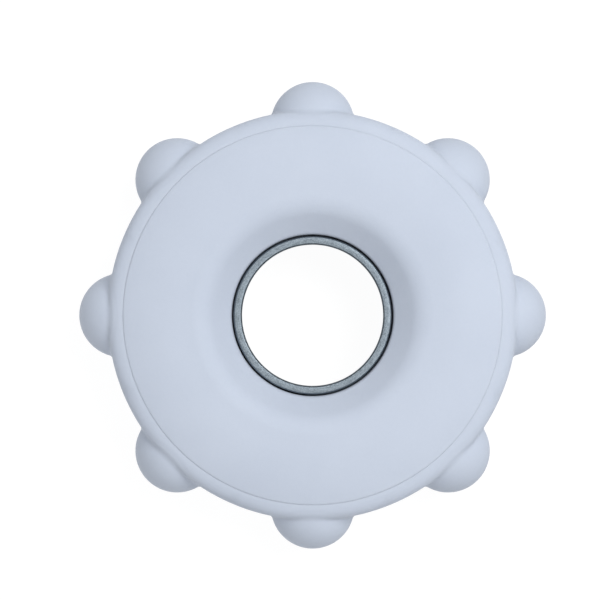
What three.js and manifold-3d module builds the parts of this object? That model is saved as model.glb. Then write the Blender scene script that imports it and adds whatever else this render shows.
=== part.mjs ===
// Teething ring: a soft ring with eight round nubs, built on a hard two-part core,
// with a metal sleeve that turns freely in its bore.
//
// Millimetres. The ring lies flat: +Z is its axis and the origin is its centre.
// Front pieces are drawn above the middle plane, and rear pieces are the same
// outlines turned over about the X axis.
import * as THREE from 'three';
import * as BufferGeometryUtils from 'three/addons/utils/BufferGeometryUtils.js';
import Module from 'manifold-3d';

const wasm = await Module();
wasm.setup();

// ---- Driving dimensions -------------------------------------------------------

// Outside
const bodyDiameter = 63.7;
const bodyThickness = 19;
const creaseInset = 2.35; // from the outer wall in to the line where band and face meet
const crownWidth = 8.7; // the face starts to fall this far inside that line
const crownRadius = 23;
const edgeRadius = 2.2;

// Nubs
const nubCount = 8;
const nubRadius = 6.5;
const nubReach = 4.5; // tip of a nub above the outer wall
const nubRoot = 1.4; // how deep a nub is rooted in the band

// Sleeve and the snap ring in its groove
const sleeveDiameter = 24.6;
const sleeveWall = 1.3;
const sleeveLength = 12;
const sleeveChamfer = 0.25;
const snapGrooveDepth = 0.5;
const snapRingThickness = 1;
const snapRingReach = 2; // beyond the outside of the sleeve
const snapRingOpening = THREE.MathUtils.degToRad(16);

// Mouth of the bore
const mouthWidth = 6.3;
const mouthRound = 5.5; // where the mouth leaves the flat land
const mouthEdge = 1; // where the mouth turns down into the bore
const mouthLip = 0.6; // straight rim of the soft face at the bottom of the mouth
const sleeveStand = 0.5; // end of the sleeve above the bottom of the mouth

// Soft pieces
const faceSkin = 2.2;
const mouthSkin = 1.5; // over the shoulder of the core, square to the slope of the mouth
const ledgeWidth = 0.5; // step in the band that carries the edge of a face
const keyWidth = 3; // round tongue under a face, held in the core
const keyDepth = 2;
const ribHeight = 4.4; // rib inside the band, held in the groove of the core
const ribDepth = 2;

// Seals
const sealSection = 1.5;

// Core
const coreWall = 2;
const coreFloor = 1.3; // over the cavity, under the tongue grooves and the hub
const hubWall = 4;
const stiffenerThickness = 1.6;
const bossRadius = 2.4;
const dowelRadius = 1.3;
const dowelReach = 2.6; // below the joint between the halves

// Clearances
const jointGap = 0.3; // between pieces that seat on each other
const runningGap = 0.3; // around the turning sleeve and its snap ring
const sealGap = 0.1; // between a seal and the turning sleeve

// ---- Worked out from the above ------------------------------------------------

const bodyRadius = bodyDiameter / 2;
const faceHeight = bodyThickness / 2;
const creaseRadius = bodyRadius - creaseInset;
const landRadius = creaseRadius - crownWidth;

const sleeveRadius = sleeveDiameter / 2;
const sleeveBore = sleeveRadius - sleeveWall;
const snapGrooveRadius = sleeveRadius - snapGrooveDepth;
const snapRingRadius = sleeveRadius + snapRingReach;
const snapSlotHalf = snapRingThickness / 2 + runningGap;

const boreRadius = sleeveRadius + runningGap;

// The mouth is a funnel: its slope touches the round at the land and the round at the bore.
const mouthTop = new THREE.Vector2(boreRadius + mouthWidth, faceHeight - mouthRound);
const mouthBottom = new THREE.Vector2(boreRadius + mouthEdge, sleeveLength / 2 - sleeveStand);
const mouthSlope = Math.atan2(mouthTop.y - mouthBottom.y, mouthTop.x - mouthBottom.x)
  + Math.asin((mouthRound - mouthEdge) / mouthTop.distanceTo(mouthBottom));

const faceUnderside = faceHeight - faceSkin;
const mouthUnderside = mouthBottom.y - mouthLip;
const mouthWallRadius = mouthTop.x + (mouthSkin - mouthRound
  + (faceUnderside - mouthTop.y) * Math.cos(mouthSlope)) / Math.sin(mouthSlope);
const coreTop = faceUnderside - jointGap;
const hubTop = mouthUnderside - jointGap;
const hubShoulder = mouthWallRadius + jointGap;

const bandBore = creaseRadius - ledgeWidth;
const ribRadius = bandBore - ribDepth;
const rimRadius = bandBore - jointGap;
const grooveRadius = ribRadius - jointGap;
const keyRadius = (hubShoulder + rimRadius) / 2;

const cavityInner = boreRadius + hubWall;
const cavityOuter = grooveRadius - coreWall;
const cavityTop = Math.min(coreTop - keyDepth, hubTop) - coreFloor;
const dowelCircle = (cavityInner + cavityOuter) / 2;

const sealCentre = sleeveRadius + sealGap + sealSection / 2;
const sealHeight = (snapSlotHalf + hubTop) / 2;
const sealGrooveHalf = sealSection / 2 + jointGap / 2;
const sealGrooveRadius = sealCentre + sealSection / 2 + jointGap;

// ---- Fineness of the round surfaces ---------------------------------------------

const ringFacets = 48;
const nubFacets = 16;
const dowelFacets = 12;
const sealFacets = 8;

// ---- Materials ----------------------------------------------------------------

const silicone = { color: '#cbd5e4', roughness: 0.6, metalness: 0 };
const hardPlastic = { color: '#e9ebee', roughness: 0.45, metalness: 0 };
const steel = { color: '#9fadb8', roughness: 0.35, metalness: 1 };
const springSteel = { color: '#7d858c', roughness: 0.4, metalness: 1 };
const sealRubber = { color: '#8f9aa8', roughness: 0.7, metalness: 0 };

// ---- Tools --------------------------------------------------------------------

const point = (radius, height) => new THREE.Vector2(radius, height);

// Points along an ellipse from one angle to another, in degrees
function arc(centre, radiusX, radiusY, from, to, steps) {
  const start = THREE.MathUtils.degToRad(from);
  const end = THREE.MathUtils.degToRad(to);
  const curve = new THREE.EllipseCurve(
    centre.x, centre.y, radiusX, radiusY, start, end, end < start);
  return curve.getPoints(steps);
}

// A section turned about Z. It runs counter-clockwise and closes on itself.
function turned(section) {
  const geometry = new THREE.LatheGeometry([...section, section[0]], ringFacets);
  return geometry.rotateX(Math.PI / 2);
}

function toSolid(geometry) {
  const bare = geometry.clone();
  bare.deleteAttribute('normal');
  bare.deleteAttribute('uv');
  const merged = BufferGeometryUtils.mergeVertices(bare);
  return new wasm.Manifold(new wasm.Mesh({
    numProp: 3,
    vertProperties: new Float32Array(merged.attributes.position.array),
    triVerts: new Uint32Array(merged.index.array),
  }));
}

function toGeometry(solid) {
  const mesh = solid.getMesh();
  const geometry = new THREE.BufferGeometry();
  geometry.setAttribute('position', new THREE.BufferAttribute(mesh.vertProperties, 3));
  geometry.setIndex(new THREE.BufferAttribute(mesh.triVerts, 1));
  geometry.computeVertexNormals();
  return geometry;
}

// The same geometry repeated round the axis
function around(count, offset, make) {
  const step = (2 * Math.PI) / count;
  return Array.from({ length: count }, (_, index) => make().rotateZ(offset + index * step));
}

const join = (solid, pieces) => pieces.reduce((sum, piece) => sum.add(toSolid(piece)), solid);
const cut = (solid, pieces) => pieces.reduce((rest, piece) => rest.subtract(toSolid(piece)), solid);

// ---- Outer surface --------------------------------------------------------------

// The crown falls away from the flat land and rolls over the edge into the side wall.
const crownCentre = point(landRadius, faceHeight - crownRadius);
const edgeCentreRadius = bodyRadius - edgeRadius;
const centresApart = crownRadius - edgeRadius;
const edgeSpread = edgeCentreRadius - landRadius;
const edgeCentre = point(
  edgeCentreRadius,
  crownCentre.y + Math.sqrt(centresApart ** 2 - edgeSpread ** 2));
const tangentAngle = THREE.MathUtils.radToDeg(Math.acos(edgeSpread / centresApart));

const crownAngle = (radius) =>
  THREE.MathUtils.radToDeg(Math.acos((radius - landRadius) / crownRadius));

// ---- Pieces ---------------------------------------------------------------------

function nub() {
  const tip = bodyRadius + nubReach;
  const centre = tip - nubRadius;
  const root = bodyRadius - nubRoot;
  const rootAngle = THREE.MathUtils.radToDeg(Math.asin((root - centre) / nubRadius));
  const dome = arc(point(0, centre), nubRadius, nubRadius, rootAngle, 90, 6);
  dome[dome.length - 1] = point(0, tip);
  const geometry = new THREE.LatheGeometry([point(0, root), ...dome], nubFacets);
  return geometry.rotateZ(-Math.PI / 2);
}

function nubBand() {
  const edge = arc(edgeCentre, edgeRadius, edgeRadius, 0, tangentAngle, 4);
  const creaseAngle = crownAngle(creaseRadius + jointGap / 2);
  const crown = arc(crownCentre, crownRadius, crownRadius, tangentAngle, creaseAngle, 1);
  const inside = [
    point(creaseRadius + jointGap / 2, coreTop),
    point(bandBore, coreTop),
    point(bandBore, ribHeight / 2),
    point(ribRadius, ribHeight / 2),
  ];
  const upper = [...edge, ...crown.slice(1), ...inside];
  const lower = upper.map((corner) => point(corner.x, -corner.y)).reverse();
  const ring = toSolid(turned([...upper, ...lower]));
  return toGeometry(join(ring, around(nubCount, 0, nub)));
}

function softFace() {
  const edge = creaseRadius - jointGap / 2;
  const crown = arc(crownCentre, crownRadius, crownRadius, crownAngle(edge), 90, 3);
  const slopeAngle = 90 + THREE.MathUtils.radToDeg(mouthSlope);
  const mouth = [
    ...arc(mouthTop, mouthRound, mouthRound, 90, slopeAngle, 3),
    ...arc(mouthBottom, mouthEdge, mouthEdge, slopeAngle, 180, 2),
  ];
  return turned([
    point(boreRadius, mouthUnderside),
    point(mouthWallRadius, mouthUnderside),
    point(mouthWallRadius, faceUnderside),
    point(keyRadius - keyWidth / 2, faceUnderside),
    point(keyRadius - keyWidth / 2, faceUnderside - keyDepth),
    point(keyRadius + keyWidth / 2, faceUnderside - keyDepth),
    point(keyRadius + keyWidth / 2, faceUnderside),
    point(edge, faceUnderside),
    ...crown,
    ...mouth,
  ]);
}

function dowel(radius, bottom, top) {
  const geometry = new THREE.CylinderGeometry(radius, radius, top - bottom, dowelFacets);
  geometry.rotateX(Math.PI / 2);
  return geometry.translate(dowelCircle, 0, (top + bottom) / 2);
}

// Half of the core, above the middle plane. One half has dowels and the other has their
// sockets, and the rear half is turned over, so its dowel circle runs the other way round.
function coreHalf(hasDowels) {
  const keyHalf = keyWidth / 2 + jointGap;
  const joint = jointGap / 2;
  const shell = toSolid(turned([
    point(snapRingRadius + runningGap, joint),
    point(cavityInner, joint),
    point(cavityInner, cavityTop),
    point(cavityOuter, cavityTop),
    point(cavityOuter, joint),
    point(grooveRadius, joint),
    point(grooveRadius, ribHeight / 2 + jointGap),
    point(rimRadius, ribHeight / 2 + jointGap),
    point(rimRadius, coreTop),
    point(keyRadius + keyHalf, coreTop),
    point(keyRadius + keyHalf, coreTop - keyDepth),
    point(keyRadius - keyHalf, coreTop - keyDepth),
    point(keyRadius - keyHalf, coreTop),
    point(hubShoulder, coreTop),
    point(hubShoulder, hubTop),
    point(boreRadius, hubTop),
    point(boreRadius, sealHeight + sealGrooveHalf),
    point(sealGrooveRadius, sealHeight + sealGrooveHalf),
    point(sealGrooveRadius, sealHeight - sealGrooveHalf),
    point(boreRadius, sealHeight - sealGrooveHalf),
    point(boreRadius, snapSlotHalf),
    point(snapRingRadius + runningGap, snapSlotHalf),
  ]));

  const rootedTop = cavityTop + coreFloor / 2;
  const stiffenerHeight = rootedTop - joint;
  const stiffenerLength = cavityOuter - cavityInner + coreWall;
  const stiffeners = around(nubCount, 0, () => {
    const geometry = new THREE.BoxGeometry(stiffenerLength, stiffenerThickness, stiffenerHeight);
    return geometry.translate(dowelCircle, 0, joint + stiffenerHeight / 2);
  });

  const dowelOffset = (hasDowels ? 1 : -1) * (Math.PI / nubCount);
  const atDowels = (make) => around(nubCount / 2, dowelOffset, make);
  const bosses = atDowels(() => dowel(bossRadius, joint, rootedTop));
  const body = join(join(shell, stiffeners), bosses);
  if (hasDowels) {
    return toGeometry(join(body, atDowels(() => dowel(dowelRadius, -dowelReach, cavityTop))));
  }
  const socketDepth = dowelReach + jointGap;
  return toGeometry(cut(body, atDowels(() => dowel(dowelRadius + jointGap, 0, socketDepth))));
}

function boreSleeve() {
  const half = sleeveLength / 2;
  const upper = [
    point(snapGrooveRadius, snapSlotHalf),
    point(sleeveRadius, snapSlotHalf),
    point(sleeveRadius, half - sleeveChamfer),
    point(sleeveRadius - sleeveChamfer, half),
    point(sleeveBore + sleeveChamfer, half),
    point(sleeveBore, half - sleeveChamfer),
  ];
  const lower = upper.map((corner) => point(corner.x, -corner.y)).reverse();
  return turned([...upper, ...lower]);
}

function snapRing() {
  const inner = snapGrooveRadius + jointGap;
  const start = snapRingOpening / 2;
  const end = 2 * Math.PI - start;
  const outline = new THREE.Shape();
  outline.absarc(0, 0, snapRingRadius, start, end, false);
  outline.absarc(0, 0, inner, end, start, true);
  outline.closePath();
  const geometry = new THREE.ExtrudeGeometry(outline, {
    depth: snapRingThickness,
    bevelEnabled: false,
    curveSegments: ringFacets / 2,
  });
  return geometry.translate(0, 0, -snapRingThickness / 2);
}

function seal() {
  const section = arc(point(sealCentre, sealHeight), sealSection / 2, sealSection / 2,
    0, 360, sealFacets);
  return turned(section.slice(0, sealFacets));
}

// ---- Assembly -------------------------------------------------------------------

const teethingRing = new THREE.Group();

function add(name, geometry, finish, parent = teethingRing) {
  const mesh = new THREE.Mesh(geometry, new THREE.MeshStandardMaterial(finish));
  mesh.name = name;
  parent.add(mesh);
}

const front = new THREE.Group();
const rear = new THREE.Group();
rear.rotation.x = Math.PI;
teethingRing.add(front, rear);

add('nub_band', nubBand(), silicone);
add('bore_sleeve', boreSleeve(), steel);
add('snap_ring', snapRing(), springSteel);

add('front_face', softFace(), silicone, front);
add('front_core', coreHalf(true), hardPlastic, front);
add('front_seal', seal(), sealRubber, front);

add('rear_face', softFace(), silicone, rear);
add('rear_core', coreHalf(false), hardPlastic, rear);
add('rear_seal', seal(), sealRubber, rear);

export default teethingRing;
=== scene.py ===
# %% [markdown]
# # A teething ring in soft silicone
#
# The real object is a thick soft ring for a baby to hold and bite. Eight round nubs stand on its
# side wall, and a metal sleeve turns freely in its bore.
# The hard model behind it is already made, and this script builds the fine surfaces
# around it. So the first step is to load that model and never to move it: every size and place
# below is read from it, or is a small finishing size that only the surface needs.

# %% The frame
import math

import bpy
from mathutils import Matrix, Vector


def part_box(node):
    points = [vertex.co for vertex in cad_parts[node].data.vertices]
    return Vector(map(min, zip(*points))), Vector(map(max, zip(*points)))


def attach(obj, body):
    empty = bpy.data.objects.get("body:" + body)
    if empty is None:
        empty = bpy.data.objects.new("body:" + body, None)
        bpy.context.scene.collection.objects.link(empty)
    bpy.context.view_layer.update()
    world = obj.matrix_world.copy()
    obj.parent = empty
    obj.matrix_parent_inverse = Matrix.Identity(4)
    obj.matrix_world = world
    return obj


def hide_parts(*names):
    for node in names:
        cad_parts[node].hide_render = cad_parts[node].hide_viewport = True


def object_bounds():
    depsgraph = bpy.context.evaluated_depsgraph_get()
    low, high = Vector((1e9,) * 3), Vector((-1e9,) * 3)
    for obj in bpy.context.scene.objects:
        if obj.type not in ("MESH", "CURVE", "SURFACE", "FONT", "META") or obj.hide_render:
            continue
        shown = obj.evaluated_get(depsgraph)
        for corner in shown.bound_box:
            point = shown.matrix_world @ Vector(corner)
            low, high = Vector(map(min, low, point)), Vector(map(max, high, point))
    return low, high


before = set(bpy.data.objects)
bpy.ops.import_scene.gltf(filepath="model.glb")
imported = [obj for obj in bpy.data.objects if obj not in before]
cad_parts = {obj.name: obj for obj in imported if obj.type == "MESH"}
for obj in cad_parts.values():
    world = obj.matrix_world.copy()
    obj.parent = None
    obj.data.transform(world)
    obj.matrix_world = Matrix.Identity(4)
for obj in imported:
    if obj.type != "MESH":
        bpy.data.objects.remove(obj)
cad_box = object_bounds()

MM = 0.001
print("hard model, mm:", [round((high - low) / MM, 1) for low, high in zip(*cad_box)])

# %% [markdown]
# ## Reading the sizes
#
# A node's box says how far it reaches from the axis and how high it stands. The metal sleeve gives
# the bore, the front face gives the line where it meets the band, and the band gives the tips of
# the nubs. What a box can't say, such as the radius of a rolled edge, is named here.
# Two bores come from the sleeve: the one of the hard core, and a slightly tighter one in the soft
# face, which closes round the sleeve without touching it.

# %% Sizes from the frame
def reach(node):
    """How far a node reaches from the axis, and its highest point."""
    _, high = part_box(node)
    return high.x, high.z


sleeve_radius, sleeve_top = reach("bore_sleeve")
face_edge, face_top = reach("front_face")
nub_tip, _ = reach("nub_band")
core_rim, core_top = reach("front_core")
_, snap_top = reach("snap_ring")

nub_count = 8
nub_radius = 6.5 * MM
nub_reach = 4.5 * MM
root_fillet = 0.4 * MM
wall_radius = nub_tip - nub_reach
edge_radius = 2.2 * MM

joint_gap = 0.3 * MM
crease_radius = face_edge + joint_gap / 2
band_bore = core_rim + joint_gap
crown_radius, crown_width = 23 * MM, 8.7 * MM
land_radius = crease_radius - crown_width

sleeve_gap, soft_gap = 0.3 * MM, 0.26 * MM
bore_radius = sleeve_radius + sleeve_gap
bore_edge = sleeve_radius + soft_gap
mouth_width, sleeve_stand = 6.3 * MM, 0.5 * MM
mouth_radius = bore_radius + mouth_width
mouth_height = sleeve_top - sleeve_stand
mouth_round, mouth_edge = 5.5 * MM, 1.0 * MM
print("side wall, mm:", round(wall_radius / MM, 2), "crease:", round(crease_radius / MM, 2))

# %% [markdown]
# ## Numbers that work in sums
#
# A node tree does its arithmetic with Math nodes, which are hard to read when there are many. A
# small class wraps a socket and teaches it Python's operators, so that a sum written as a formula
# becomes the same sum in nodes. One method, `node`, makes every node: first its settings, then the
# values or links of its sockets. `add` calls it and wraps one of its outputs, ready for sums. The
# same two classes serve materials, geometry and the light of the room.

# %% Node trees in Python
class Socket:
    """An output socket that can be used in sums."""

    def __init__(self, tree, output):
        self.tree, self.output = tree, output

    def __add__(self, other):
        return self.tree.math("ADD", self, other)

    def __radd__(self, other):
        return self.tree.math("ADD", other, self)

    def __sub__(self, other):
        return self.tree.math("SUBTRACT", self, other)

    def __rsub__(self, other):
        return self.tree.math("SUBTRACT", other, self)

    def __mul__(self, other):
        return self.tree.math("MULTIPLY", self, other)

    def __rmul__(self, other):
        return self.tree.math("MULTIPLY", other, self)

    def __truediv__(self, other):
        return self.tree.math("DIVIDE", self, other)

    def __rtruediv__(self, other):
        return self.tree.math("DIVIDE", other, self)

    def __abs__(self):
        return self.tree.math("ABSOLUTE", self)


class Tree:
    """A node tree that is built by formulas."""

    def __init__(self, nodes):
        self.nodes, self.links = nodes.nodes, nodes.links

    def node(self, kind, settings=None, sockets=None):
        """A new node: its settings first, then its sockets."""
        node = self.nodes.new(kind)
        for name, value in (settings or {}).items():
            setattr(node, name, value)
        for name, value in (sockets or {}).items():
            self.feed(node.inputs[name], value)
        return node

    def add(self, kind, settings=None, sockets=None, output=0):
        """One output of a new node, by its number or its name."""
        return Socket(self, self.node(kind, settings, sockets).outputs[output])

    def feed(self, target, value):
        """Links a socket to another, or sets its own number or colour."""
        if isinstance(value, Socket):
            self.links.new(value.output, target)
        else:
            target.default_value = value

    def math(self, operation, *values):
        return self.add("ShaderNodeMath", {"operation": operation}, dict(enumerate(values)))

    def least(self, first, second):
        return self.math("MINIMUM", first, second)

    def most(self, first, second):
        return self.math("MAXIMUM", first, second)

    def length(self, *sides):
        """The length of a line with these sides."""
        return self.math("SQRT", sum((side * side for side in sides[1:]), sides[0] * sides[0]))

    def split(self, vector):
        """The three numbers of a vector."""
        parts = self.node("ShaderNodeSeparateXYZ", None, {"Vector": vector})
        return [Socket(self, output) for output in parts.outputs]


# %% [markdown]
# ## Outlines
#
# Almost everything here is round, so it is drawn as an outline of radius and height and turned
# about the axis. Sharp corners never look real, because a mould or a tool always leaves a small
# round. `rounded` replaces a corner by a curve that touches both of its sides.
# An outline runs counter-clockwise, and then the turned faces point outwards.

# %% Outline helpers
def arc(centre, radius, start, end, steps):
    """Points along a circle, from one angle to another in radians."""
    turns = [start + (end - start) * step / steps for step in range(steps + 1)]
    return [centre + radius * Vector((math.cos(turn), math.sin(turn))) for turn in turns]


def spaced(start, end, steps):
    """Points between two others, without the two."""
    return [start.lerp(end, step / steps) for step in range(1, steps)]


def rounded(before, corner, after, radius, steps=6):
    """The points that replace a corner between two others."""
    back, on = (before - corner).normalized(), (after - corner).normalized()
    half = back.angle(on) / 2
    centre = corner + (back + on).normalized() * radius / math.sin(half)
    start = corner + back * radius / math.tan(half) - centre
    end = corner + on * radius / math.tan(half) - centre
    blends = [step / steps for step in range(steps + 1)]
    return [centre + start.lerp(end, blend).normalized() * radius for blend in blends]


def softened(corners, radius, steps=3):
    """A closed outline with all its corners rounded."""
    outline = []
    for index, corner in enumerate(corners):
        after = corners[(index + 1) % len(corners)]
        outline += rounded(corners[index - 1], corner, after, radius, steps)
    return outline


def mirrored(outline):
    """The same outline below the middle plane. It runs from its end back to its start, so it
    stays counter-clockwise."""
    return [Vector((point.x, -point.y)) for point in reversed(outline)]


def new_piece(name, points, faces):
    """A mesh object at the origin, with smooth faces."""
    mesh = bpy.data.meshes.new(name)
    mesh.from_pydata(points, [], faces)
    mesh.shade_smooth()
    piece = bpy.data.objects.new(name, mesh)
    bpy.context.scene.collection.objects.link(piece)
    return piece


# %% Turning an outline
ring_steps = 256


def turned(outline, closed=True, steps=ring_steps):
    """Points and faces of an outline turned about the axis."""
    turns = [2 * math.pi * step / steps for step in range(steps)]
    points = [(p.x * math.cos(t), p.x * math.sin(t), p.y) for t in turns for p in outline]
    count = len(outline)
    faces = []
    for step in range(steps):
        here, there = step * count, (step + 1) % steps * count
        for index in range(count if closed else count - 1):
            beyond = (index + 1) % count
            faces.append((here + index, there + index, there + beyond, here + beyond))
    return points, faces


# %% [markdown]
# ## The skin of the ring
#
# Face and band share one smooth outer surface. A flat land falls away in a wide crown, and the
# crown rolls over the edge into the straight side wall. Both curves are parts of circles that
# touch, so their meeting point follows from the two centres. `band_skin` walks along this surface
# from the middle of the side wall, which is the natural way to place things on it.
# Near the crease the band sinks a little below the face, as a stretched band does on its core. So
# the crease is a low soft step, and not a black slot: it shows on the side turned away from the
# light, and nearly vanishes on the side that faces it.

# %% The outer surface
edge_centre_radius = wall_radius - edge_radius
crown_centre = Vector((land_radius, face_top - crown_radius))
edge_spread = edge_centre_radius - land_radius
edge_rise = math.sqrt((crown_radius - edge_radius) ** 2 - edge_spread ** 2)
edge_centre = Vector((edge_centre_radius, crown_centre.y + edge_rise))
meeting_angle = math.atan2(edge_rise, edge_spread)
wall_half = edge_centre.y
roll_length = edge_radius * meeting_angle


def crown_angle(radius):
    """Where on the circle of the crown a radius lies."""
    return math.acos((radius - land_radius) / crown_radius)


meeting_radius = edge_centre.x + edge_radius * math.cos(meeting_angle)
crease_step = 0.12 * MM


def band_skin(distance):
    """The point of the band this far along its skin from the middle of the side wall."""
    run = abs(distance)
    if run <= wall_half:
        point = Vector((wall_radius, run))
    elif run <= wall_half + roll_length:
        turn = (run - wall_half) / edge_radius
        point = edge_centre + edge_radius * Vector((math.cos(turn), math.sin(turn)))
    else:
        turn = meeting_angle + (run - wall_half - roll_length) / crown_radius
        point = crown_centre + crown_radius * Vector((math.cos(turn), math.sin(turn)))
        share = (meeting_radius - point.x) / (meeting_radius - crease_radius)
        point.y -= crease_step * share ** 2
    return Vector((point.x, math.copysign(point.y, distance)))


print("straight wall, mm:", round(2 * wall_half / MM, 2))

# %% [markdown]
# ## The band, before its nubs grow
#
# The nubs will be pushed out of the side wall, so the wall needs its points where a nub needs
# them. Each nub gets a cell of the wall, meshed in rings round the middle of the nub. The rings
# are wide apart on the smooth dome and close together where the nub meets the wall, because the
# small fillet there is the sharpest shape of all. Outside the last round ring, the rings change
# step by step into the straight sides of the cell.
# The rest of the band is one outline turned about the axis: over the rolled edge, down into the
# crease, and back round the inside, with the rib that holds the band on its core.

# %% The blank of the band
crease_width, band_lip = 0.002 * MM, 0.01 * MM
band_edge = crease_radius + crease_width / 2
rib_half, rib_depth = 2.2 * MM, 2 * MM

cell_half = wall_half + 3.1 * MM
cell_round = cell_half - 0.2 * MM
steps_across, steps_up = ring_steps // nub_count, 18
root_start, root_end = 0.7 * nub_radius, 1.16 * nub_radius
dome_steps, root_steps, corner_steps = 10, 26, 5


def ring_radii():
    """Radii of the round rings of a cell: wide on the dome, close at the root of the nub."""
    dome = [root_start * step / dome_steps for step in range(1, dome_steps)]
    root = [root_start + (root_end - root_start) * step / root_steps
            for step in range(root_steps + 1)]
    return dome + root + [cell_round]


def cell_border():
    """The border of a cell, counter-clockwise, as distances along and across the band."""
    half_width = math.pi / nub_count * wall_radius
    across = [half_width * (2 * step / steps_across - 1) for step in range(steps_across)]
    up = [cell_half * (2 * step / steps_up - 1) for step in range(steps_up)]
    return ([Vector((x, -cell_half)) for x in across] + [Vector((half_width, y)) for y in up]
            + [Vector((-x, cell_half)) for x in across] + [Vector((-half_width, -y)) for y in up])


def nub_cell():
    """Rings of points round the middle of a nub, from the middle outwards."""
    border = cell_border()
    rings = [[point.normalized() * radius for point in border] for radius in ring_radii()]
    last_round = rings[-1]
    for step in range(1, corner_steps + 1):
        blend = step / corner_steps
        rings.append([inner.lerp(outer, blend) for inner, outer in zip(last_round, border)])
    return rings


def on_band(place, middle_angle):
    """The point of the band at a place of a cell."""
    angle, point = middle_angle + place.x / wall_radius, band_skin(place.y)
    return point.x * math.cos(angle), point.x * math.sin(angle), point.y


# %% Building the blank
def crown_to_crease(inside, steps=5):
    """From the cells over the edge and the crown, and round the lip into the crease."""
    crown_turn = crown_angle(band_edge) - meeting_angle
    crown_end = wall_half + roll_length + crown_radius * crown_turn
    crown_run = crown_end - cell_half
    outline = [band_skin(cell_half + crown_run * step / steps) for step in range(steps)]
    return outline + rounded(outline[-1], band_skin(crown_end), inside, band_lip)


def cell_faces(first, count, rings):
    """The faces of a cell: a fan round its middle point, then one strip for each ring."""
    faces = []
    for index in range(count):
        beyond = (index + 1) % count
        faces.append((first, first + 1 + index, first + 1 + beyond))
        for ring in range(rings - 1):
            inner, outer = first + 1 + ring * count, first + 1 + (ring + 1) * count
            faces.append((inner + index, outer + index, outer + beyond, inner + beyond))
    return faces


def band_blank():
    """The whole band without its nubs: the turned part, and a cell for each nub."""
    inside = [Vector((band_edge, core_top)), Vector((band_bore, core_top)),
              Vector((band_bore, rib_half)), Vector((band_bore - rib_depth, rib_half))]
    upper = crown_to_crease(inside[0]) + inside
    points, faces = turned(upper + mirrored(upper), closed=False)
    rings = nub_cell()
    for nub in range(1, nub_count + 1):
        middle_angle = 2 * math.pi * nub / nub_count
        faces += cell_faces(len(points), len(rings[0]), len(rings))
        points.append(on_band(Vector((0, 0)), middle_angle))
        points += [on_band(place, middle_angle) for ring in rings for place in ring]
    return new_piece("soft_nub_band", points, faces)


nub_band = band_blank()
weld = nub_band.modifiers.new("weld", "WELD")
weld.merge_threshold = 0.001 * MM
print("blank of the band:", len(nub_band.data.polygons), "faces")

# %% [markdown]
# ## Growing the nubs
#
# A nub is a ball sunk in the wall, with a small fillet where they meet. Geometry Nodes can grow
# it by a rule that holds for every point at once: measure how far the point still lies inside the
# ball and the wall together, and move it outwards by most of that. Repeated two dozen times, every
# point settles on the true surface. The fillet comes from the way the two distances are joined:
# where both are smaller than the fillet, the distance to its own round takes over.
# All eight nubs come from one formula, because the angle round the ring is first folded back to
# the nearest nub.

# %% The tree that grows the nubs
share_of_step, grow_rounds = 0.9, 24


def grow_nubs_tree():
    """A tree that moves the points of the side wall out to the surface of the nubs."""
    group = bpy.data.node_groups.new("grow nubs", "GeometryNodeTree")
    interface = group.interface
    interface.new_socket("Geometry", in_out="INPUT", socket_type="NodeSocketGeometry")
    interface.new_socket("Nub Count", in_out="INPUT", socket_type="NodeSocketInt")
    for name in ("Nub Centre", "Nub Radius", "Root Fillet",
                 "Edge Centre Radius", "Edge Centre Height", "Edge Radius"):
        interface.new_socket(name, in_out="INPUT", socket_type="NodeSocketFloat")
    interface.new_socket("Rounds", in_out="INPUT", socket_type="NodeSocketInt")
    interface.new_socket("Finish", in_out="INPUT", socket_type="NodeSocketMaterial")
    interface.new_socket("Geometry", in_out="OUTPUT", socket_type="NodeSocketGeometry")

    tree = Tree(group)
    given = tree.node("NodeGroupInput")
    size = {output.name: Socket(tree, output) for output in given.outputs if output.name}
    start = tree.node("GeometryNodeRepeatInput")
    end = tree.node("GeometryNodeRepeatOutput")
    start.pair_with_output(end)
    tree.feed(start.inputs["Iterations"], size["Rounds"])
    tree.feed(start.inputs["Geometry"], size["Geometry"])

    x, y, z = tree.split(tree.add("GeometryNodeInputPosition"))
    radius = tree.length(x, y)
    pitch = 2 * math.pi / size["Nub Count"]
    angle = tree.math("ARCTAN2", y, x)
    turn = angle - tree.math("ROUND", angle / pitch) * pitch
    along = radius * tree.math("COSINE", turn)
    across = radius * tree.math("SINE", turn)
    to_nub = tree.length(along - size["Nub Centre"], across, z) - size["Nub Radius"]
    to_wall = tree.length(
        tree.most(radius - size["Edge Centre Radius"], 0.0),
        tree.most(abs(z) - size["Edge Centre Height"], 0.0)) - size["Edge Radius"]
    fillet = size["Root Fillet"]
    to_skin = tree.most(fillet, tree.least(to_nub, to_wall)) - tree.length(
        tree.most(fillet - to_nub, 0.0), tree.most(fillet - to_wall, 0.0))
    step = tree.most(-share_of_step * to_skin, 0.0)

    outer = tree.add("FunctionNodeCompare", {"operation": "GREATER_THAN"},
                     {"A": radius, "B": size["Edge Centre Radius"]})
    push = tree.add("ShaderNodeCombineXYZ", None, {"X": x / radius * step, "Y": y / radius * step})
    moved = tree.add("GeometryNodeSetPosition", None, {
        "Geometry": Socket(tree, start.outputs["Geometry"]), "Selection": outer, "Offset": push})
    tree.feed(end.inputs["Geometry"], moved)
    smooth = tree.add("GeometryNodeSetShadeSmooth", None,
                      {"Geometry": Socket(tree, end.outputs["Geometry"]), "Shade Smooth": True})
    whole = tree.add("GeometryNodeRealizeInstances", None, {"Geometry": smooth})
    finished = tree.add("GeometryNodeSetMaterial", None,
                        {"Geometry": whole, "Material": size["Finish"]})
    tree.node("NodeGroupOutput", None, {"Geometry": finished})
    return group


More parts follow.
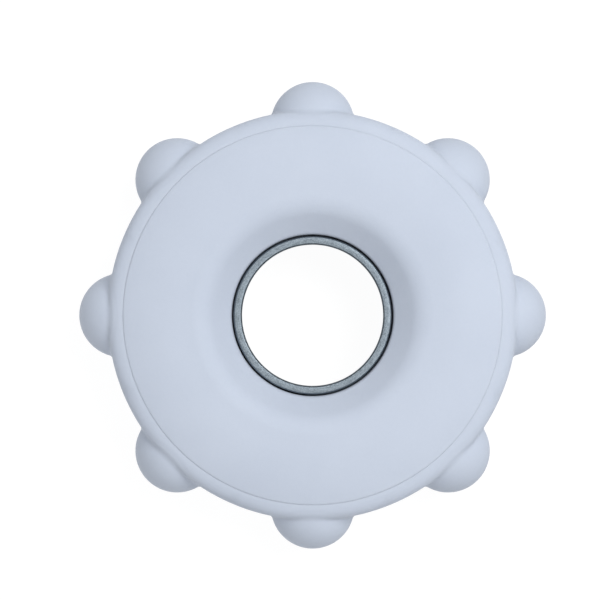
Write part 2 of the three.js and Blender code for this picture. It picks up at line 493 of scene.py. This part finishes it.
# %% [markdown]
# ## Soft silicone
#
# Teething silicone is matt and a little cloudy to the light: some of it enters the surface and
# comes out again close by, which is what subsurface scattering does. Its mould was sand-blasted,
# so the surface has a fine even tooth that breaks up every reflection, and handling leaves the
# sheen a bit uneven. Colour, roughness and bump each get their own noise, at their own scale.
# The band also carries the hair-fine line that its mould leaves round the middle.

# %% Helpers for materials
def new_material(name):
    """A new material, its empty tree and its Object coordinates."""
    material = bpy.data.materials.new(name)
    material.use_nodes = True
    material.node_tree.nodes.clear()
    tree = Tree(material.node_tree)
    place = tree.add("ShaderNodeTexCoord", output="Object")
    return material, tree, place


def finish_with(tree, shader_sockets):
    """The shader with these sockets, linked to the material's output."""
    shader = tree.add("ShaderNodeBsdfPrincipled", None, shader_sockets)
    tree.node("ShaderNodeOutputMaterial", None, {"Surface": shader})


def noise(tree, place, size, detail=2.0, roughness=0.5):
    """Noise between 0 and 1 whose spots are about this size."""
    return tree.add("ShaderNodeTexNoise", None, {
        "Vector": place, "Scale": 1 / size, "Detail": detail, "Roughness": roughness})


def mix_colours(tree, factor, first, second):
    """A colour between two others."""
    return tree.add("ShaderNodeMix", {"data_type": "RGBA"},
                    {0: factor, 6: first, 7: second}, output=2)


def bump(tree, height, depth, under=None):
    """A bump of this depth for heights between 0 and 1."""
    sockets = {"Height": height, "Distance": depth, "Strength": 1.0}
    if under:
        sockets["Normal"] = under
    return tree.add("ShaderNodeBump", None, sockets)


# %% The silicone
pale_blue, paler_blue = (0.452, 0.500, 0.588, 1), (0.474, 0.522, 0.610, 1)
mould_line_half, mould_line_height = 0.09 * MM, 0.03 * MM


def silicone(name, mould_line):
    """The silicone, with or without the line that its mould leaves round the middle."""
    material, tree, place = new_material(name)
    cloudy = noise(tree, place, 14 * MM, detail=3.0)
    speckled = noise(tree, place, 0.5 * MM)
    tint = tree.add("ShaderNodeMapRange", None, {
        "Value": 0.75 * cloudy + 0.25 * speckled, "From Min": 0.35, "From Max": 0.65})
    colour = mix_colours(tree, tint, pale_blue, paler_blue)
    handled = noise(tree, place, 7 * MM, detail=3.0)
    tooth = noise(tree, place, 0.16 * MM, detail=3.0, roughness=0.6)
    waves = noise(tree, place, 2.5 * MM)
    surface = bump(tree, waves, 0.02 * MM, under=bump(tree, tooth, 0.012 * MM))
    if mould_line:
        _, _, z = tree.split(place)
        ridge = tree.most(1 - abs(z) / mould_line_half, 0.0)
        surface = bump(tree, ridge, mould_line_height, under=surface)
    finish_with(tree, {
        "Base Color": colour, "Roughness": 0.58 + 0.16 * handled, "Normal": surface,
        "Subsurface Weight": 0.12, "Subsurface Radius": (1.0, 1.0, 1.1),
        "Subsurface Scale": 1.2 * MM, "Specular IOR Level": 0.15})
    return material


band_silicone = silicone("soft silicone, moulded band", mould_line=True)
face_silicone = silicone("soft silicone, moulded face", mould_line=False)
print("silicone:", len(band_silicone.node_tree.nodes), "nodes with the line of the mould,",
      len(face_silicone.node_tree.nodes), "without")

# %% [markdown]
# ## From rule to mesh
#
# The modifier gets its inputs by the identifiers of the tree's sockets. Then the evaluated object
# is copied into a plain mesh, and the modifiers go. What is left is an ordinary piece that rides
# on the ring's body and stands for the plain band of the hard model.

# %% Helpers for modifiers and meshes
def set_inputs(modifier, values):
    """Sets a modifier's inputs, given by the names in its tree."""
    for item in modifier.node_group.interface.items_tree:
        if item.item_type == "SOCKET" and item.in_out == "INPUT" and item.name in values:
            modifier[item.identifier] = values[item.name]


def apply_modifiers(piece):
    """Works a piece's modifiers into its mesh, and removes them."""
    bpy.context.view_layer.update()
    seen = piece.evaluated_get(bpy.context.evaluated_depsgraph_get())
    mesh = bpy.data.meshes.new_from_object(seen)
    piece.modifiers.clear()
    piece.data = mesh
    mesh.name = piece.name


def open_edges(piece):
    """How many edges don't have exactly two faces: none on a closed surface."""
    uses = {}
    for polygon in piece.data.polygons:
        for key in polygon.edge_keys:
            uses[key] = uses.get(key, 0) + 1
    return sum(1 for count in uses.values() if count != 2)


# %% Growing and placing the band
grow = nub_band.modifiers.new("grow nubs", "NODES")
grow.node_group = grow_nubs_tree()
set_inputs(grow, {
    "Nub Count": nub_count, "Nub Centre": nub_tip - nub_radius, "Nub Radius": nub_radius,
    "Root Fillet": root_fillet, "Edge Centre Radius": edge_centre.x,
    "Edge Centre Height": edge_centre.y, "Edge Radius": edge_radius,
    "Rounds": grow_rounds, "Finish": band_silicone})
apply_modifiers(nub_band)
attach(nub_band, "ring")
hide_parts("nub_band")
print("band:", len(nub_band.data.polygons), "faces,", open_edges(nub_band), "open edges")

# %% [markdown]
# ## The two faces
#
# A face is one outline turned about the axis. From the flat land it falls into the mouth, which
# is a funnel: a straight slope that touches a wide round at the top and a small one at the bore.
# Towards the outside it follows the crown to the crease, and turns down into it with a soft lip.
# Underneath it keeps the round tongue that the core holds. The rear face is the same outline
# turned over.

# %% The outline of a face
face_rim = crease_radius - crease_width / 2
face_under = core_top + joint_gap
mouth_skin = 4 * MM
tongue_half, tongue_depth = 1.5 * MM, 2 * MM
lip_width, lip_round = 0.28 * MM, 0.6 * MM

mouth_top = Vector((mouth_radius, face_top - mouth_round))
mouth_foot = Vector((bore_edge + mouth_edge, mouth_height))
between = mouth_top - mouth_foot
mouth_slope = math.atan2(between.y, between.x) + math.asin(
    (mouth_round - mouth_edge) / between.length)


def mouth_outline():
    """From the land down the funnel and into the bore."""
    upper = arc(mouth_top, mouth_round, math.pi / 2, math.pi / 2 + mouth_slope, 20)
    lower = arc(mouth_foot, mouth_edge, math.pi / 2 + mouth_slope, math.pi, 12)
    return upper + spaced(upper[-1], lower[0], 6) + lower


def underside_outline():
    """From the bore outwards: over the core's hub, and down and up round the tongue."""
    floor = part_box("front_face")[0].z
    hub = bore_radius + mouth_skin
    tongue_middle = (hub + joint_gap + core_rim) / 2
    tongue_in, tongue_out = tongue_middle - tongue_half, tongue_middle + tongue_half
    corners = [(bore_edge, floor), (hub, floor), (hub, face_under),
               (tongue_in, face_under), (tongue_in, face_under - tongue_depth),
               (tongue_out, face_under - tongue_depth), (tongue_out, face_under),
               (face_rim, face_under)]
    return [Vector(corner) for corner in corners]


def crown_outline():
    """From the crease up round the lip and over the crown to the land."""
    lip_start = crown_angle(face_rim - lip_width)
    toward_lip = Vector((math.cos(lip_start), math.sin(lip_start)))
    lip_centre = crown_centre + (crown_radius - lip_round) * toward_lip
    lip_end = math.acos((face_rim - lip_centre.x) / lip_round)
    lip = arc(lip_centre, lip_round, lip_end, lip_start, 8)
    crown = arc(crown_centre, crown_radius, lip_start, math.pi / 2, 30)
    return lip + crown[1:]


def face_outline():
    """The whole outline: underside, crown, flat land and mouth."""
    crown, mouth = crown_outline(), mouth_outline()
    land = spaced(crown[-1], mouth[0], 4)
    return underside_outline() + crown + land + mouth


print("slope of the mouth, degrees:", round(math.degrees(mouth_slope), 1))

# %% Front and rear face
def add_face(name, node, outline):
    """A soft face in its place, standing for a node of the hard model."""
    face = new_piece(name, *turned(outline))
    face.data.materials.append(face_silicone)
    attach(face, "ring")
    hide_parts(node)
    print(name, len(face.data.polygons), "faces,", open_edges(face), "open edges")


add_face("soft_front_face", "front_face", face_outline())
add_face("soft_rear_face", "rear_face", mirrored(face_outline()))

# %% [markdown]
# ## Turned steel
#
# The sleeve is cut from tube. Its ends are faced on a lathe, which leaves fine rings, and then
# tumbled, which breaks the rings up into an even grain. Inside, the tube keeps the faint
# lengthwise marks of the die that it was drawn through. Both patterns are noises stretched along
# the direction of the work: rings need the distance from the axis, and drawn marks need the angle.

# %% The steel of the sleeve
ring_squeeze, drawn_squeeze = 0.6 * MM, 0.04


def steel(name, colour, dark, grain_size):
    """Steel with an even grain, faint rings of the lathe and faint lengthwise marks."""
    material, tree, place = new_material(name)
    x, y, z = tree.split(place)
    radius, angle = tree.length(x, y), tree.math("ARCTAN2", y, x)
    rings = tree.add("ShaderNodeCombineXYZ", None, {
        "X": radius, "Y": angle * ring_squeeze, "Z": z})
    drawn = tree.add("ShaderNodeCombineXYZ", None, {
        "X": angle * sleeve_radius, "Y": radius, "Z": z * drawn_squeeze})
    grain = noise(tree, place, grain_size, detail=3.0, roughness=0.7)
    facing = noise(tree, rings, 0.07 * MM)
    drawing = noise(tree, drawn, 0.12 * MM)
    marks = 0.5 * grain + 0.25 * facing + 0.25 * drawing
    shade = tree.add("ShaderNodeMapRange", None, {
        "Value": marks, "From Min": 0.42, "From Max": 0.58})
    surface = bump(tree, marks, 0.008 * MM)
    finish_with(tree, {
        "Base Color": mix_colours(tree, shade, dark, colour), "Metallic": 1.0,
        "Roughness": 0.34 + 0.16 * marks, "Normal": surface})
    return material


sleeve_steel = steel("turned steel", (0.25, 0.293, 0.33, 1), (0.11, 0.133, 0.155, 1), 0.18 * MM)
print(sleeve_steel.name + ":", len(sleeve_steel.node_tree.nodes), "nodes")

# %% [markdown]
# ## The sleeve
#
# A short tube with broken edges at both ends and a groove round the middle for its snap ring. The
# broken edge matters more than its size suggests: it is what catches the light as a thin line.

# %% Turning the sleeve
sleeve_wall, groove_depth = 1.3 * MM, 0.5 * MM
chamfer, edge_break = 0.2 * MM, 0.05 * MM
sleeve_bore = sleeve_radius - sleeve_wall
groove_radius, groove_half = sleeve_radius - groove_depth, snap_top + joint_gap


def sleeve_outline():
    """The wall of the sleeve: up from its groove, over its end and down the bore."""
    shoulder = sleeve_top - chamfer
    corners = [
        Vector((groove_radius, groove_half)), Vector((sleeve_radius, groove_half)),
        Vector((sleeve_radius, shoulder)), Vector((sleeve_radius - chamfer, sleeve_top)),
        Vector((sleeve_bore + chamfer, sleeve_top)), Vector((sleeve_bore, shoulder))]
    return softened(corners + mirrored(corners), edge_break)


sleeve = new_piece("turned_sleeve", *turned(sleeve_outline()))
sleeve.data.materials.append(sleeve_steel)
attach(sleeve, "sleeve")
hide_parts("bore_sleeve")
print("sleeve:", len(sleeve.data.polygons), "faces,", open_edges(sleeve), "open edges")

# %% [markdown]
# ## Inside the ring
#
# The core and the snap ring are right as they are in the hard model, so they keep their shape and
# only get a finish of their own. The core is natural moulded plastic with a fine spark-eroded
# texture, and the snap ring is spring steel.
# The seals are turned again as true round rings. In the hard model they clear the sleeve by more,
# and here they all but touch it, as real seals do, so no light falls through beside the sleeve.

# %% Finishes for the inner pieces
def moulded(name, colour, shade, texture_size, roughness):
    """A moulded finish: a fine texture, with the colour and gloss a little cloudy."""
    material, tree, place = new_material(name)
    texture = noise(tree, place, texture_size, detail=3.0, roughness=0.6)
    cloudy = noise(tree, place, 9 * MM)
    finish_with(tree, {
        "Base Color": mix_colours(tree, 0.6 * cloudy + 0.4 * texture, colour, shade),
        "Roughness": roughness + 0.15 * cloudy, "Normal": bump(tree, texture, 0.01 * MM)})
    return material


core_plastic = moulded("natural moulded plastic", (0.78, 0.80, 0.82, 1), (0.70, 0.72, 0.75, 1),
                       0.25 * MM, 0.4)
seal_silicone = moulded("seal silicone", (0.26, 0.31, 0.38, 1), (0.21, 0.25, 0.31, 1),
                        0.1 * MM, 0.35)
spring_steel = steel("spring steel", (0.36, 0.38, 0.40, 1), (0.22, 0.24, 0.26, 1), 0.12 * MM)

inner_finishes = {
    "front_core": core_plastic, "rear_core": core_plastic, "snap_ring": spring_steel}
for node, material in inner_finishes.items():
    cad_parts[node].data.materials.clear()
    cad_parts[node].data.materials.append(material)
    print(node, "->", material.name)

# %% Turning the seals
seal_clearance = 0.02 * MM


def seal_outline(node):
    """A full circle in the seal's groove, as large as the sleeve allows."""
    low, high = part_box(node)
    middle = (low.z + high.z) / 2
    centre = Vector((high.x - (high.z - middle), middle))
    return arc(centre, centre.x - sleeve_radius - seal_clearance, 0, 2 * math.pi, 32)[:-1]


for node in ("front_seal", "rear_seal"):
    seal = new_piece("round_" + node, *turned(seal_outline(node)))
    seal.data.materials.append(seal_silicone)
    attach(seal, "ring")
    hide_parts(node)
    print(seal.name, len(seal.data.polygons), "faces,", open_edges(seal), "open edges")

# %% [markdown]
# ## A white sweep
#
# The ring lies on a white sweep: a floor that curves up into a low wall, so that no horizon shows
# from any side. It glows, as a light table does. That keeps the ground clean, and lifts the
# shadows under the edges of the ring.

# %% The sweep
def sweep_material():
    """Matt and almost black by itself, so that its own glow sets how white it looks."""
    material, tree, place = new_material("white sweep")
    mottle = noise(tree, place, 30 * MM)
    finish_with(tree, {
        "Base Color": mix_colours(tree, mottle, (0.09, 0.09, 0.09, 1), (0.11, 0.11, 0.11, 1)),
        "Roughness": 0.7 + 0.1 * mottle, "Specular IOR Level": 0.0,
        "Emission Color": (1.0, 1.0, 1.0, 1), "Emission Strength": 0.93})
    return material


ground = cad_box[0].z
floor_radius, cove_radius, sweep_steps = 4.0, 0.44, 96
cove_centre = Vector((floor_radius, ground + cove_radius))
cove = arc(cove_centre, cove_radius, -math.pi / 2, 0, 16)
sweep_points, sweep_faces = turned(list(reversed(cove)), closed=False, steps=sweep_steps)
floor_edge = tuple(step * len(cove) + len(cove) - 1 for step in range(sweep_steps))
sweep = new_piece("white_sweep", sweep_points, sweep_faces + [floor_edge])
sweep.data.materials.append(sweep_material())
print("sweep:", len(sweep.data.polygons), "faces")

# %% [markdown]
# ## Light
#
# One large soft light stands to the upper right, low enough to model the mouth and the crown. The
# rest comes from a pale room that is brightest overhead and falls off towards the horizon. The
# fall-off is what gives the sides of the ring their gentle darkening.
# Straight overhead is one darker patch of the room, such as a camera on its stand leaves in a
# studio. The flat end of the sleeve mirrors it, and so the steel looks darker than the silicone.
# The power of the light is worked out from the strength that reaches the ring, so it can be moved
# nearer or further away without making the ring darker or lighter.

# %% The room
world = bpy.data.worlds.new("pale room")
bpy.context.scene.world = world
world.use_nodes = True
world.node_tree.nodes.clear()
room = Tree(world.node_tree)
_, _, upward = room.split(room.add("ShaderNodeTexCoord", output="Generated"))
horizon, overhead = 0.04, 1.6
height = room.most(upward, 0.0)
patch_rim, patch_heart, patch_depth = 0.94, 0.985, 0.55
dark_patch = room.add("ShaderNodeMapRange", {"interpolation_type": "SMOOTHSTEP"}, {
    "Value": upward, "From Min": patch_rim, "From Max": patch_heart, "To Max": patch_depth})
glow = (horizon + (overhead - horizon) * height * height) * (1 - dark_patch)
sky = room.add("ShaderNodeBackground", None, {"Color": (1.0, 1.0, 1.0, 1), "Strength": glow})
room.node("ShaderNodeOutputWorld", None, {"Surface": sky})
print("room, from the horizon to overhead:", horizon, "to", overhead)

# %% The key light
key_distance, key_azimuth, key_elevation = 0.9, math.radians(35), math.radians(61)
key_strength = 0.63
key_direction = Vector((math.cos(key_azimuth) * math.cos(key_elevation),
                        math.sin(key_azimuth) * math.cos(key_elevation),
                        math.sin(key_elevation)))
key_data = bpy.data.lights.new("key softbox", "AREA")
key_data.shape = "DISK"
key_data.size = 0.5
key_data.energy = key_strength * math.pi ** 2 * key_distance ** 2
key = bpy.data.objects.new("key softbox", key_data)
bpy.context.scene.collection.objects.link(key)
key.location = key_direction * key_distance
key.rotation_euler = (-key_direction).to_track_quat("-Z", "Y").to_euler()
print("key light, W:", round(key_data.energy, 2))

# %% [markdown]
# ## Camera
#
# The camera looks straight down the axis through a long lens, so the circles stay circles. The
# ring fills a little over three quarters of the view, and sits slightly to the right and below
# its middle.

# %% The camera
camera_distance = 2.5
share_of_view = 0.7777
camera_data = bpy.data.cameras.new("camera")
view_width = 2 * nub_tip / share_of_view
camera_data.lens = camera_data.sensor_width * camera_distance / view_width
camera_data.shift_x, camera_data.shift_y = -0.021, 0.0255
camera_data.clip_start, camera_data.clip_end = 0.01, 10.0
camera = bpy.data.objects.new("camera", camera_data)
bpy.context.scene.collection.objects.link(camera)
camera.location = (0.0, 0.0, camera_distance)
bpy.context.scene.camera = camera
bpy.context.scene.view_settings.view_transform = "Standard"
print("lens, mm:", round(camera_data.lens))
